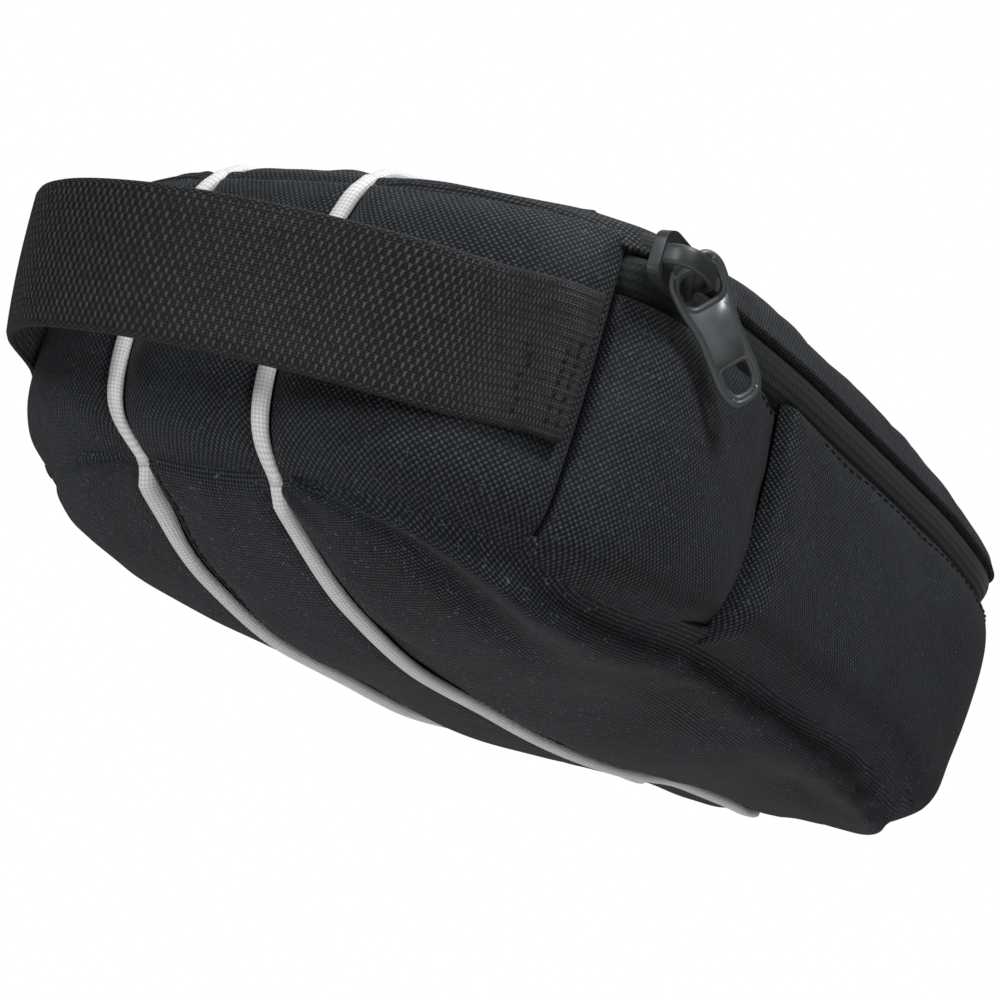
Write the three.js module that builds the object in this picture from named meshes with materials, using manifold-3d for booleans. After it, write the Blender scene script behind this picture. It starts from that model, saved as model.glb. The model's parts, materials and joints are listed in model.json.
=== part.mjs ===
// A padded saddle bag with a zipped lid, a seat-post loop and two saddle-rail straps.
// Millimetres, +Z up. The nose of the bag points along -X and the tail along +X; -Y is the bag's left side.
// The origin is the middle of the flat part of the belly, on the surface that the bag stands on.
import * as THREE from "three";
import { mergeVertices } from "three/addons/utils/BufferGeometryUtils.js";
import Module from "manifold-3d";

const wasm = await Module();
wasm.setup();

// Plan outline: a blunt nose, sides that taper a little, and a rounded tail.
const LENGTH = 180;
const NOSE_X = -90;
const HALF_WIDTH_FRONT = 58;
const HALF_WIDTH_REAR = 53;
const NOSE_RUN = 36;
const NOSE_BLUNTNESS = 2.8;
const NOSE_ROUNDNESS = 2.33;
const TAIL_RUN = 37;
const TAIL_BLUNTNESS = 4.2;

// Profiles along the bag, each a list of [distance from the nose, value].
const LOW_SEAM_Z = [[0, 16.5], [27, 12], [72, 15.5], [126, 15], [180, 7.5]];
const HIGH_SEAM_Z = [[0, 63], [27, 64.5], [72, 66], [126, 66], [180, 63]];
const BELLY_DEPTH = [[0, 2], [25, 5], [60, 19], [110, 17], [160, 3], [180, 1]];
const CROWN_HEIGHT = [[0, 3], [25, 8], [60, 18], [110, 18], [160, 13], [180, 8]];
const WALL_BULGE = 2.5;

// Where the panels meet.
const BAND_HALF_WIDTH = 15.2;
const FRONT_SEAM = 16;
const PLEAT_SEAM = 62;
const LID_LINE = 17.5;
const LID_FLAT_Z = 82;

// Cloth, cord and foam.
const FABRIC = 1;
const FOAM = 3;
const LINING = 0.8;
const PIPING_RADIUS = 1;
const GAP = 0.4;
const PIPING_SLOT = PIPING_RADIUS + 0.35;
const FOAM_INSET = 2.2;
const LINING_INSET = 5.9;

// Zip.
const COIL_DROP = 4.5;
const COIL_WIDTH = 1.1;
const COIL_DEPTH = 1.2;
const LOWER_TAPE = 4.6;
const TUB_DROP = 10.6;

// Slider and pull.
const SLIDER_AT = 18.6;
const SLIDER_STANDOFF = 1.5;
const SLIDER_PLATE = 1.4;
const SLIDER_LENGTH = 11;
const SLIDER_WIDTH = 8;
const BRIDGE_REACH = 4.4;
const BRIDGE_WIDTH = 1.8;
const BRIDGE_HEIGHT = 3.3;
const PULL_LENGTH = 25;
const PULL_DROOP = 0.72;
const PULL_THICKNESS = 1.1;
const PULL_EYE_HALF_WIDTH = 5;
const PULL_TIP_HALF_WIDTH = 3.5;
const SIDE_TAPER = (HALF_WIDTH_FRONT - HALF_WIDTH_REAR) / (LENGTH - NOSE_RUN);

// Seat-post loop.
const WEBBING_WIDTH = 20;
const WEBBING_THICKNESS = 1.8;
const LOOP_LOW_Z = 30;
const LOOP_STANDOFF = 19;

// Saddle-rail straps.
const STRAP_WIDTH = 20;
const STRAP_REACH = 22;
const STRAP_THICKNESS = 1.4;
const STRAP_CENTRES = [-22, 14];
const PATCH_SIZE = [72, 56];
const PATCH_THICKNESS = 1.2;

const SHELL = { color: 0x1c2024, roughness: 0.85, metalness: 0 };
const WHITE = { color: 0xe6e6e2, roughness: 0.6, metalness: 0 };
const WEBBING = { color: 0x1a1b1d, roughness: 0.75, metalness: 0 };
const TAPE = { color: 0x262d2b, roughness: 0.8, metalness: 0 };
const METAL = { color: 0x55585a, roughness: 0.4, metalness: 0.7 };
const PADDING = { color: 0x8b8d8f, roughness: 0.95, metalness: 0 };
const LINER = { color: 0x2b2e33, roughness: 0.7, metalness: 0 };
const BOARD = { color: 0x17181a, roughness: 0.5, metalness: 0 };

const bag = new THREE.Group();

function add(name, geometry, finish, parent = bag) {
  const mesh = new THREE.Mesh(geometry, new THREE.MeshStandardMaterial(finish));
  mesh.name = name;
  parent.add(mesh);
  return mesh;
}

// The value of a profile at a distance from the nose, eased between its points.
function along(profile, s) {
  for (let i = 1; i < profile.length; i += 1) {
    const [start, low] = profile[i - 1];
    const [end, high] = profile[i];
    if (s <= end) return THREE.MathUtils.lerp(low, high, THREE.MathUtils.smoothstep(s, start, end));
  }
  return profile.at(-1)[1];
}

// Half the plan width at a distance from the nose, of the outline drawn in by an inset.
function halfWidth(s, inset = 0) {
  const front = Math.max(1 - (s - inset) / (NOSE_RUN - inset), 0);
  const rear = Math.max(1 - (LENGTH - inset - s) / (TAIL_RUN - inset), 0);
  const side = HALF_WIDTH_FRONT - inset - SIDE_TAPER * Math.max(s - NOSE_RUN, 0);
  const nose = Math.max(1 - front ** NOSE_BLUNTNESS, 0) ** (1 / NOSE_ROUNDNESS);
  const tail = Math.max(1 - rear ** TAIL_BLUNTNESS, 0) ** (1 / TAIL_BLUNTNESS);
  return side * nose * tail;
}

// How much of a dome's full height is left at a place across the bag.
function domeShare(s, y, flatness, roundness) {
  const width = Math.max(halfWidth(s), 0.01);
  const across = Math.min(Math.abs(y) / width, 1);
  const ends = (width / HALF_WIDTH_FRONT) ** 0.6;
  return ends * (1 - across ** flatness) ** (1 / roundness);
}

function bellyZ(s, y) {
  return Math.max(along(LOW_SEAM_Z, s) - along(BELLY_DEPTH, s) * domeShare(s, y, 1.95, 1.2), 0);
}

function crownZ(s, y) {
  return Math.min(along(HIGH_SEAM_Z, s) + along(CROWN_HEIGHT, s) * domeShare(s, y, 2.1, 1.43), LID_FLAT_Z);
}

// The closed plan outline, from the middle of the nose round the left side, the tail and the right side.
class PlanOutline extends THREE.Curve {
  getPoint(t, target = new THREE.Vector3()) {
    const turn = 2 * Math.PI * t;
    const s = (LENGTH * (1 - Math.cos(turn))) / 2;
    return target.set(NOSE_X + s, -Math.sign(Math.sin(turn)) * halfWidth(s), 0);
  }
}
const outline = new PlanOutline();
outline.arcLengthDivisions = 1200;
const PERIMETER = outline.getLength();

// The share of the outline's length, on the left side, where a test of the point first holds.
function shareWhere(test) {
  let low = 0;
  let high = 0.5;
  for (let i = 0; i < 40; i += 1) {
    const middle = (low + high) / 2;
    if (test(outline.getPointAt(middle))) high = middle;
    else low = middle;
  }
  return high;
}
const shareAt = (s) => shareWhere((point) => point.x >= NOSE_X + s);
const BAND_SHARE = shareWhere((point) => point.y <= -BAND_HALF_WIDTH);
const HALF_SLOT = PIPING_SLOT / PERIMETER;
const HALF_GAP = GAP / 2 / PERIMETER;

// A point on the side wall: share of the outline, height, and distance outwards.
function wallPoint(share, z, out = 0) {
  const turn = ((share % 1) + 1) % 1;
  const point = outline.getPointAt(turn);
  const tangent = outline.getTangentAt(turn);
  const s = point.x - NOSE_X;
  const low = along(LOW_SEAM_Z, s);
  const rise = THREE.MathUtils.clamp((z - low) / (along(HIGH_SEAM_Z, s) - low), 0, 1);
  const reach = WALL_BULGE * Math.sin(Math.PI * rise) + out;
  return new THREE.Vector3(point.x + tangent.y * reach, point.y - tangent.x * reach, z);
}

function facingOut(geometry) {
  const position = geometry.getAttribute("position");
  const corner = [0, 1, 2].map(() => new THREE.Vector3());
  let volume = 0;
  for (let i = 0; i < geometry.index.count; i += 3) {
    corner.forEach((point, k) => point.fromBufferAttribute(position, geometry.index.getX(i + k)));
    volume += corner[0].dot(corner[1].cross(corner[2]));
  }
  if (volume < 0) {
    for (let i = 0; i < geometry.index.count; i += 3) {
      const swap = geometry.index.getX(i);
      geometry.index.setX(i, geometry.index.getX(i + 1));
      geometry.index.setX(i + 1, swap);
    }
  }
  geometry.computeVertexNormals();
  return geometry;
}

// A sheet with thickness: place(u, v, w) gives each point, u and v over the sheet and w from its inner to outer face.
function sheet(columns, rows, place) {
  const geometry = new THREE.BoxGeometry(1, 1, 1, columns, rows, 1);
  const position = geometry.getAttribute("position");
  for (let i = 0; i < position.count; i += 1) {
    const point = place(position.getX(i) + 0.5, position.getY(i) + 0.5, position.getZ(i) + 0.5);
    position.setXYZ(i, point.x, point.y, point.z);
  }
  return facingOut(geometry);
}

const mix = THREE.MathUtils.lerp;

// A stretch of wall between two shares of the outline and two heights, which may vary along it.
function wallSheet(start, end, low, high, { columns = 10, rows = 4, outer = 0, thickness = FABRIC } = {}) {
  return sheet(columns, rows, (u, v, w) => {
    const share = mix(start, end, u);
    const s = wallPoint(share, 0).x - NOSE_X;
    return wallPoint(share, mix(low(s), high(s), v), outer - thickness * (1 - w));
  });
}

// A strip of a face between two lines along the bag; surface(s, y) is its outer side and depth points inwards.
function faceSheet(from, to, inner, outerLine, surface, depth, columns = 16, rows = 4) {
  return sheet(columns, rows, (u, v, w) => {
    const eased = (1 - Math.cos(Math.PI * u)) / 2;
    const s = mix(from, to, eased);
    const y = mix(inner(s), outerLine(s), v);
    return new THREE.Vector3(NOSE_X + s, y, surface(s, y) + depth * (1 - w));
  });
}

// The distance from the nose, or from the tail, at which the outline is a given half width.
function stationOfWidth(width, fromTail = false) {
  let near = 0;
  let far = LENGTH / 2;
  for (let i = 0; i < 40; i += 1) {
    const middle = (near + far) / 2;
    if (halfWidth(fromTail ? LENGTH - middle : middle) < width) near = middle;
    else far = middle;
  }
  return fromTail ? LENGTH - far : far;
}

function cordAlong(points, radius, steps) {
  const section = new THREE.Shape().absarc(0, 0, radius, 0, 2 * Math.PI);
  const extrudePath = new THREE.CatmullRomCurve3(points);
  return new THREE.ExtrudeGeometry(section, { steps, curveSegments: 3, extrudePath, bevelEnabled: false });
}

function solid(geometry) {
  const bare = geometry.clone().deleteAttribute("normal").deleteAttribute("uv");
  const merged = mergeVertices(bare, 1e-4);
  const vertProperties = merged.getAttribute("position").array;
  return new wasm.Manifold(new wasm.Mesh({ numProp: 3, vertProperties, triVerts: new Uint32Array(merged.index.array) }));
}

function shapeOf(manifold) {
  const { vertProperties, triVerts } = manifold.getMesh();
  const geometry = new THREE.BufferGeometry();
  geometry.setAttribute("position", new THREE.Float32BufferAttribute(vertProperties, 3));
  geometry.setIndex([...triVerts]);
  geometry.computeVertexNormals();
  return geometry;
}

const lowSeam = (s) => along(LOW_SEAM_Z, s);
const highSeam = (s) => along(HIGH_SEAM_Z, s);
const wallFoot = (s) => lowSeam(s) + FABRIC + GAP;
const wallHead = (s) => highSeam(s) - FABRIC - GAP;
const zipFoot = (s) => highSeam(s) - COIL_DROP - COIL_WIDTH - LOWER_TAPE - GAP;

// Lower face: a middle band and two cheeks, with a slot between them for each piping.
function lowerFace() {
  const edge = BAND_HALF_WIDTH - PIPING_SLOT;
  const nose = stationOfWidth(edge);
  const tail = stationOfWidth(edge, true);
  const band = faceSheet(nose, tail, () => -edge, () => edge, bellyZ, FABRIC, 18, 4);
  add("lower_face_centre", band, SHELL);
  const start = BAND_HALF_WIDTH + PIPING_SLOT;
  const first = stationOfWidth(start + 3);
  const last = stationOfWidth(start + 3, true);
  for (const [side, name] of [[-1, "left"], [1, "right"]]) {
    const cheek = faceSheet(first, last, () => side * start, (s) => side * halfWidth(s), bellyZ, FABRIC, 18, 4);
    add(`lower_face_${name}`, cheek, SHELL);
  }
}

// Upper face: a short front strip that stays with the pouch, and the lid behind the fold line.
function upperFace() {
  const edge = BAND_HALF_WIDTH - PIPING_SLOT;
  const start = BAND_HALF_WIDTH + PIPING_SLOT;
  const strips = [
    ["upper_front", stationOfWidth(edge), FRONT_SEAM, stationOfWidth(start + 3), 4],
    ["lid_face", LID_LINE, stationOfWidth(edge, true), LID_LINE, 16],
  ];
  for (const [name, from, to, cheekFrom, columns] of strips) {
    const isLid = name === "lid_face";
    const cheekTo = isLid ? stationOfWidth(start + 3, true) : to;
    add(`${name}_centre`, faceSheet(from, to, () => -edge, () => edge, crownZ, -FABRIC, columns, 4), SHELL);
    for (const [side, word] of [[-1, "left"], [1, "right"]]) {
      const outer = (s) => side * halfWidth(s);
      const cheek = faceSheet(cheekFrom, cheekTo, () => side * start, outer, crownZ, -FABRIC, columns, 4);
      add(`${name}_${word}`, cheek, SHELL);
    }
  }
}

// Side wall: a centre panel and two front panels round the nose, two side panels and one rear panel.
function sideWall() {
  const seam = shareAt(FRONT_SEAM);
  const pleat = shareAt(PLEAT_SEAM);
  const band = BAND_SHARE - HALF_SLOT;
  const front = BAND_SHARE + HALF_SLOT;
  add("front_wall_centre", wallSheet(-band, band, wallFoot, wallHead, { columns: 6 }), SHELL);
  add("front_wall_left", wallSheet(front, seam - HALF_GAP, wallFoot, wallHead), SHELL);
  add("front_wall_right", wallSheet(1 - front, 1 - seam + HALF_GAP, wallFoot, wallHead), SHELL);
  add("side_wall_left", wallSheet(seam + HALF_GAP, pleat - HALF_GAP, wallFoot, zipFoot), SHELL);
  add("side_wall_right", wallSheet(1 - seam - HALF_GAP, 1 - pleat + HALF_GAP, wallFoot, zipFoot), SHELL);
  add("rear_wall", wallSheet(pleat + HALF_GAP, 1 - pleat - HALF_GAP, wallFoot, zipFoot, { columns: 28 }), SHELL);
}

// Pipings: one white cord on each side of the middle band, each sewn in four lengths.
function pipings() {
  const first = stationOfWidth(BAND_HALF_WIDTH) + 2.5;
  const last = stationOfWidth(BAND_HALF_WIDTH, true) - 2.5;
  const faces = [
    ["piping_lower", first, last, bellyZ, 26],
    ["piping_upper_front", first, FRONT_SEAM, crownZ, 6],
    ["piping_lid", LID_LINE, last, crownZ, 26],
  ];
  for (const [side, word] of [[-1, "left"], [1, "right"]]) {
    for (const [name, from, to, surface, steps] of faces) {
      const points = Array.from({ length: steps + 1 }, (_, i) => {
        const s = mix(from, to, i / steps);
        const z = Math.max(surface(s, BAND_HALF_WIDTH), PIPING_RADIUS + 0.05);
        return new THREE.Vector3(NOSE_X + s, side * BAND_HALF_WIDTH, z);
      });
      add(`${name}_${word}`, cordAlong(points, PIPING_RADIUS, steps), WHITE);
    }
    const share = side < 0 ? BAND_SHARE : 1 - BAND_SHARE;
    const s = first;
    const low = lowSeam(s) + PIPING_RADIUS + 2 * GAP;
    const high = highSeam(s) - PIPING_RADIUS - 2 * GAP;
    const rise = Array.from({ length: 13 }, (_, i) => wallPoint(share, mix(low, high, i / 12)));
    add(`piping_front_${word}`, cordAlong(rise, PIPING_RADIUS, 14), WHITE);
  }
}

// Zip: a tape and half of the coil on the wall, the other half and its tape on the lid.
function zip() {
  const start = shareAt(FRONT_SEAM + 2.5);
  const strip = (low, high, outer, thickness) => {
    const lowLine = (s) => highSeam(s) - COIL_DROP + low;
    const highLine = (s) => highSeam(s) - COIL_DROP + high;
    return wallSheet(start, 1 - start, lowLine, highLine, { columns: 40, rows: 1, outer, thickness });
  };
  const half = GAP / 2;
  const tapeTop = COIL_DROP - FABRIC - GAP;
  add("zip_tape_lower", strip(-COIL_WIDTH - LOWER_TAPE, -COIL_WIDTH - GAP, -0.2, FABRIC), TAPE);
  add("zip_coil_lower", strip(-COIL_WIDTH, -half, 0, COIL_DEPTH), TAPE);
  add("zip_coil_upper", strip(half, COIL_WIDTH, 0, COIL_DEPTH), TAPE);
  add("zip_tape_upper", strip(COIL_WIDTH + GAP, tapeTop, -0.2, FABRIC), TAPE);
}

// A closed solid of the pouch drawn in by an inset, up to a flat height.
function pouchSolid(inset, top) {
  const around = 28;
  const stations = 14;
  const geometry = new THREE.CylinderGeometry(1, 1, 1, around, stations);
  const position = geometry.getAttribute("position");
  for (let i = 0; i < position.count; i += 1) {
    const eased = (1 - Math.cos(Math.PI * (position.getY(i) + 0.5))) / 2;
    const s = mix(inset + 0.8, LENGTH - inset - 0.8, eased);
    const width = halfWidth(s, inset);
    const angle = Math.atan2(position.getX(i), position.getZ(i));
    const reach = Math.hypot(position.getX(i), position.getZ(i));
    const squareness = Math.max(Math.abs(Math.sin(angle)), Math.abs(Math.cos(angle)));
    const across = (Math.sin(angle) / squareness) * reach;
    const up = (Math.cos(angle) / squareness) * reach;
    const y = across * width;
    const floor = bellyZ(s, Math.min(Math.abs(y) + inset, halfWidth(s))) + inset;
    position.setXYZ(i, NOSE_X + s, y, mix(floor, top, (up + 1) / 2));
  }
  return solid(facingOut(geometry));
}

// Padding and lining of the pouch: two nested tubs, open at the top.
function tubs() {
  const rim = highSeam(FRONT_SEAM) - TUB_DROP;
  const layers = [
    ["pouch_foam", FOAM_INSET, FOAM, PADDING],
    ["pouch_lining", LINING_INSET, LINING, LINER],
  ];
  for (const [name, inset, thickness, finish] of layers) {
    const hollow = pouchSolid(inset + thickness, rim + 5);
    add(name, shapeOf(pouchSolid(inset, rim).subtract(hollow)), finish);
  }
}

// Inside of the lid: foam under the crown, a stiff board and a lining.
function lidInside() {
  const foamMargin = 18;
  const liningMargin = 9;
  const edge = (side, margin) => (s) => side * (halfWidth(s) - margin);
  const under = (s, y) => crownZ(s, y) - FABRIC - 4 * GAP;
  const foamEdges = [edge(-1, foamMargin), edge(1, foamMargin)];
  const foam = faceSheet(LID_LINE + 14, LENGTH - foamMargin, ...foamEdges, under, -FOAM, 12, 8);
  add("lid_foam", foam, PADDING);
  const liningTop = (s) => highSeam(s) - FABRIC - GAP;
  const liningEdges = [edge(-1, liningMargin), edge(1, liningMargin)];
  const lining = faceSheet(LID_LINE + 6, LENGTH - liningMargin, ...liningEdges, liningTop, -LINING, 12, 2);
  add("lid_lining", lining, LINER);
  const outlineShape = roundedRectangle(80, 50, 12);
  const board = new THREE.ExtrudeGeometry(outlineShape, { depth: 1.6, bevelEnabled: false, curveSegments: 4 });
  add("lid_board", board, BOARD).position.set(0, 0, 70);
}

function roundedRectangle(length, width, radius) {
  const shape = new THREE.Shape();
  const x = length / 2 - radius;
  const y = width / 2 - radius;
  shape.absarc(x, y, radius, 0, Math.PI / 2);
  shape.absarc(-x, y, radius, Math.PI / 2, Math.PI);
  shape.absarc(-x, -y, radius, Math.PI, 1.5 * Math.PI);
  shape.absarc(x, -y, radius, 1.5 * Math.PI, 2 * Math.PI);
  return shape;
}

// Seat-post loop: webbing sewn at both front seams, standing off the nose in a flat arc.
function seatPostLoop() {
  const end = wallPoint(shareAt(FRONT_SEAM), LOOP_LOW_Z + WEBBING_WIDTH / 2, WEBBING_THICKNESS / 2 + GAP);
  const tacked = wallPoint(shareAt(FRONT_SEAM - 4), LOOP_LOW_Z + WEBBING_WIDTH / 2, WEBBING_THICKNESS / 2 + GAP);
  const half = [
    [end.x, end.y],
    [tacked.x, tacked.y],
    [NOSE_X - 2, -39],
    [NOSE_X - LOOP_STANDOFF + 5, -20],
  ];
  const mirrored = half.map(([x, y]) => [x, -y]).reverse();
  const route = [...half, [NOSE_X - LOOP_STANDOFF, 0], ...mirrored];
  const path = new THREE.CatmullRomCurve3(route.map(([x, y]) => new THREE.Vector3(x, y, 0)), false, "centripetal");
  const loop = sheet(30, 1, (u, v, w) => {
    const point = path.getPointAt(u);
    const tangent = path.getTangentAt(u);
    const out = (w - 0.5) * WEBBING_THICKNESS;
    return new THREE.Vector3(point.x - tangent.y * out, point.y + tangent.x * out, LOOP_LOW_Z + v * WEBBING_WIDTH);
  });
  add("seat_post_loop", loop, WEBBING);
  for (const [side, word] of [[-1, "left"], [1, "right"]]) {
    const tack = new THREE.BoxGeometry(1.6, 0.8, WEBBING_WIDTH - 2);
    const mesh = add(`loop_bartack_${word}`, tack, WEBBING);
    const share = side < 0 ? shareAt(FRONT_SEAM - 1.5) : 1 - shareAt(FRONT_SEAM - 1.5);
    const middle = LOOP_LOW_Z + WEBBING_WIDTH / 2;
    mesh.position.copy(wallPoint(share, middle, WEBBING_THICKNESS + 2 * GAP + 0.5));
    const normal = wallPoint(share, middle, 1).sub(wallPoint(share, middle, 0));
    mesh.rotation.z = Math.atan2(normal.y, normal.x) - Math.PI / 2;
  }
}

// Zip slider: a plate outside the coil with a bridge that holds the pull.
function slider() {
  const group = new THREE.Group();
  const z = highSeam(SLIDER_AT) - COIL_DROP;
  const y = HALF_WIDTH_FRONT + SIDE_TAPER * (NOSE_RUN - SLIDER_AT) + SLIDER_STANDOFF;
  group.position.set(NOSE_X + SLIDER_AT, -y, z);
  group.rotation.z = SIDE_TAPER;
  bag.add(group);

  const plateShape = roundedRectangle(SLIDER_LENGTH, SLIDER_WIDTH, 2.4);
  const plate = new THREE.ExtrudeGeometry(plateShape, { depth: SLIDER_PLATE, bevelEnabled: false, curveSegments: 5 });
  plate.rotateX(Math.PI / 2);
  add("zip_slider", plate, METAL, group);

  const arch = new THREE.Shape();
  arch.moveTo(-BRIDGE_REACH, 0);
  arch.lineTo(-BRIDGE_REACH + 1, BRIDGE_HEIGHT);
  arch.lineTo(BRIDGE_REACH - 1, BRIDGE_HEIGHT);
  arch.lineTo(BRIDGE_REACH, 0);
  arch.lineTo(BRIDGE_REACH - 1, 0);
  arch.lineTo(BRIDGE_REACH - 1.8, BRIDGE_HEIGHT - 0.9);
  arch.lineTo(-BRIDGE_REACH + 1.8, BRIDGE_HEIGHT - 0.9);
  arch.lineTo(-BRIDGE_REACH + 1, 0);
  arch.closePath();
  const bridge = new THREE.ExtrudeGeometry(arch, { depth: BRIDGE_WIDTH, bevelEnabled: false });
  bridge.translate(0, 0, -BRIDGE_WIDTH / 2);
  bridge.rotateX(Math.PI);
  add("slider_bridge", bridge, METAL, group).position.y = -SLIDER_PLATE - 0.3;

  add("zip_pull", pullGeometry(), METAL, group).position.y = -SLIDER_PLATE - 0.75;
}

// The pull's eye end is wide enough to swing over the bridge; its tip holds a finger hole.
function pullGeometry() {
  const shape = new THREE.Shape();
  const eyeHalf = PULL_EYE_HALF_WIDTH;
  const tipHalf = PULL_TIP_HALF_WIDTH;
  const back = -1.3;
  shape.moveTo(back, -eyeHalf + 1.4);
  shape.lineTo(back + 1.4, -eyeHalf);
  shape.lineTo(6.4, -eyeHalf);
  shape.lineTo(11, -tipHalf);
  shape.absarc(PULL_LENGTH + back - tipHalf, 0, tipHalf, -Math.PI / 2, Math.PI / 2);
  shape.lineTo(11, tipHalf);
  shape.lineTo(6.4, eyeHalf);
  shape.lineTo(back + 1.4, eyeHalf);
  shape.lineTo(back, eyeHalf - 1.4);
  shape.closePath();
  const eye = new THREE.Path();
  eye.moveTo(0.5, -4.1);
  eye.lineTo(0.5, 4.1);
  eye.lineTo(5.4, 4.1);
  eye.lineTo(7, 1.7);
  eye.lineTo(7, -1.6);
  eye.lineTo(5.4, -4.1);
  eye.closePath();
  const finger = new THREE.Path();
  finger.moveTo(15.2, -2);
  finger.lineTo(15.2, 2);
  finger.absarc(18.9, 0, 2, Math.PI / 2, -Math.PI / 2, true);
  finger.closePath();
  shape.holes.push(eye, finger);
  const geometry = new THREE.ExtrudeGeometry(shape, { depth: PULL_THICKNESS, bevelEnabled: false, curveSegments: 6 });
  geometry.rotateX(Math.PI / 2);
  geometry.rotateY(PULL_DROOP);
  return geometry;
}

// Saddle-rail straps: each is sewn to a patch at one end, folded over and closed on itself.
function railStraps() {
  const patchShape = roundedRectangle(...PATCH_SIZE, 6);
  const patch = new THREE.ExtrudeGeometry(patchShape, { depth: PATCH_THICKNESS, bevelEnabled: false, curveSegments: 3 });
  const patchX = (STRAP_CENTRES[0] + STRAP_CENTRES[1]) / 2;
  const patchZ = LID_FLAT_Z + PIPING_RADIUS + GAP;
  const legZ = patchZ + PATCH_THICKNESS + GAP;
  add("rail_strap_patch", patch, SHELL).position.set(patchX, 0, patchZ);
  for (const [side, word, x] of [[1, "left", STRAP_CENTRES[0]], [-1, "right", STRAP_CENTRES[1]]]) {
    const leg = new THREE.BoxGeometry(STRAP_WIDTH, 2 * STRAP_REACH, STRAP_THICKNESS);
    add(`rail_strap_${word}`, leg, WEBBING).position.set(x, 0, legZ + STRAP_THICKNESS / 2);
    const flap = new THREE.BoxGeometry(STRAP_WIDTH, 1.6 * STRAP_REACH, STRAP_THICKNESS);
    const y = side * 0.2 * STRAP_REACH;
    add(`strap_flap_${word}`, flap, WEBBING).position.set(x, y, legZ + 1.5 * STRAP_THICKNESS + GAP);
  }
}

lowerFace();
upperFace();
sideWall();
pipings();
zip();
tubs();
lidInside();
seatPostLoop();
slider();
railStraps();

export default bag;
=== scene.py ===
"""Saddle bag: the fabric, pipings, zip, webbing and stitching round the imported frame."""
import json
import math

import bmesh
import bpy
from mathutils import Matrix, Vector, noise
from mathutils.bvhtree import BVHTree


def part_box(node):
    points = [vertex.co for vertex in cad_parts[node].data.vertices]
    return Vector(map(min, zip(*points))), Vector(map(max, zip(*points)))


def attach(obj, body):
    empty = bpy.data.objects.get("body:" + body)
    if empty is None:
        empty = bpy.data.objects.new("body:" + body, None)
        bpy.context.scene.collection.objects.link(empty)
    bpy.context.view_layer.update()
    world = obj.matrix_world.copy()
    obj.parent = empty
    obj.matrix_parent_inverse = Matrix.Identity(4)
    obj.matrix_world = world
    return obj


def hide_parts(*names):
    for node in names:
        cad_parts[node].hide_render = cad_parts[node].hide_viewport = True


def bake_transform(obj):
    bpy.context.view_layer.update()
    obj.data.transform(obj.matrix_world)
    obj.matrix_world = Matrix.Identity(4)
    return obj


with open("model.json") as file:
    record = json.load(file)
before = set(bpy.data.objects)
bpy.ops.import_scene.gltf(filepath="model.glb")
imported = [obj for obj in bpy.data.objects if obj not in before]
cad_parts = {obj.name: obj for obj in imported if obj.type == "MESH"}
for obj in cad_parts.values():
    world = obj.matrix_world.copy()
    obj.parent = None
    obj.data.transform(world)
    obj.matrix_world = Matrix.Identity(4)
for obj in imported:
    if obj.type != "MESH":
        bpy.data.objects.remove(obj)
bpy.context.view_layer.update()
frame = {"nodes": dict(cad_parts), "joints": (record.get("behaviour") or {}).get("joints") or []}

bl_info = {
    "name": "Saddle Bag Builder",
    "version": (1, 0, 0),
    "blender": (4, 5, 0),
    "location": "View3D > Sidebar > Saddle Bag",
    "description": "Builds a padded saddle bag round its frame",
    "category": "Add Mesh",
}

MM = 0.001
LEFT, RIGHT = -1, 1
SIDES = ((LEFT, "left"), (RIGHT, "right"))

# The frame's own boxes give the places; these are in millimetres.
FACE_LOW, FACE_HIGH = (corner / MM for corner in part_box("lower_face_centre"))
NOSE_X = round(FACE_LOW.x)
LENGTH = round(FACE_HIGH.x - FACE_LOW.x)
HALF_FRONT = round(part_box("lower_face_right")[1].y / MM)
HALF_REAR = HALF_FRONT - 5
BAND_HALF = (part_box("piping_lower_right")[0].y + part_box("piping_lower_right")[1].y) / 2 / MM
SEAM_S = 16.0
PLEAT_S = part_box("side_wall_left")[1].x / MM - NOSE_X
NOSE_RUN, NOSE_BLUNT, NOSE_ROUND = 36.0, 2.8, 2.33
TAIL_RUN, TAIL_BLUNT = 37.0, 4.2
TAPER = (HALF_FRONT - HALF_REAR) / (LENGTH - NOSE_RUN)
LOW_SEAM = ((0, 16.5), (27, 12), (72, 15.5), (126, 15), (180, 7.5))
HIGH_SEAM = ((0, 63), (27, 64.5), (72, 66), (126, 66), (180, 63))
BELLY = ((0, 2), (25, 6.5), (50, 13.5), (80, 16.5), (112, 15), (140, 10), (160, 5), (180, 1))
CROWN = ((0, 1.5), (25, 6.5), (60, 15.5), (90, 17), (120, 15.5), (160, 11.5), (180, 7))
BULGE = 2.5
FOLD_DROP = 9.8
# Lengths of the two ends, where the soft shape leans about a point and not a line.
NOSE_END, TAIL_END = 42, 40
# How far the shape leans out of true: skew, curl into the lower seam, and lift of the right rear belly.
SKEW, CURL, LIFT = 4.0, 4.4, 3.4


class BagSizes(bpy.types.PropertyGroup):
    """Sizes of the soft pieces"""
    cloth: bpy.props.FloatProperty(
        name="Cloth Thickness", description="Thickness of the shell cloth", default=0.0008, unit="LENGTH")
    piping: bpy.props.FloatProperty(
        name="Piping Radius", description="Radius of the white piping", default=0.00125, unit="LENGTH")
    stitch: bpy.props.FloatProperty(
        name="Stitch Pitch", description="Distance from one stitch to the next", default=0.003, unit="LENGTH")
    webbing: bpy.props.FloatProperty(
        name="Webbing Thickness", description="Thickness of the loop webbing", default=0.0016, unit="LENGTH")


def colour(name, text):
    return bpy.props.StringProperty(name=name, description=f"{name} as an sRGB hex value", default=text)


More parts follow.
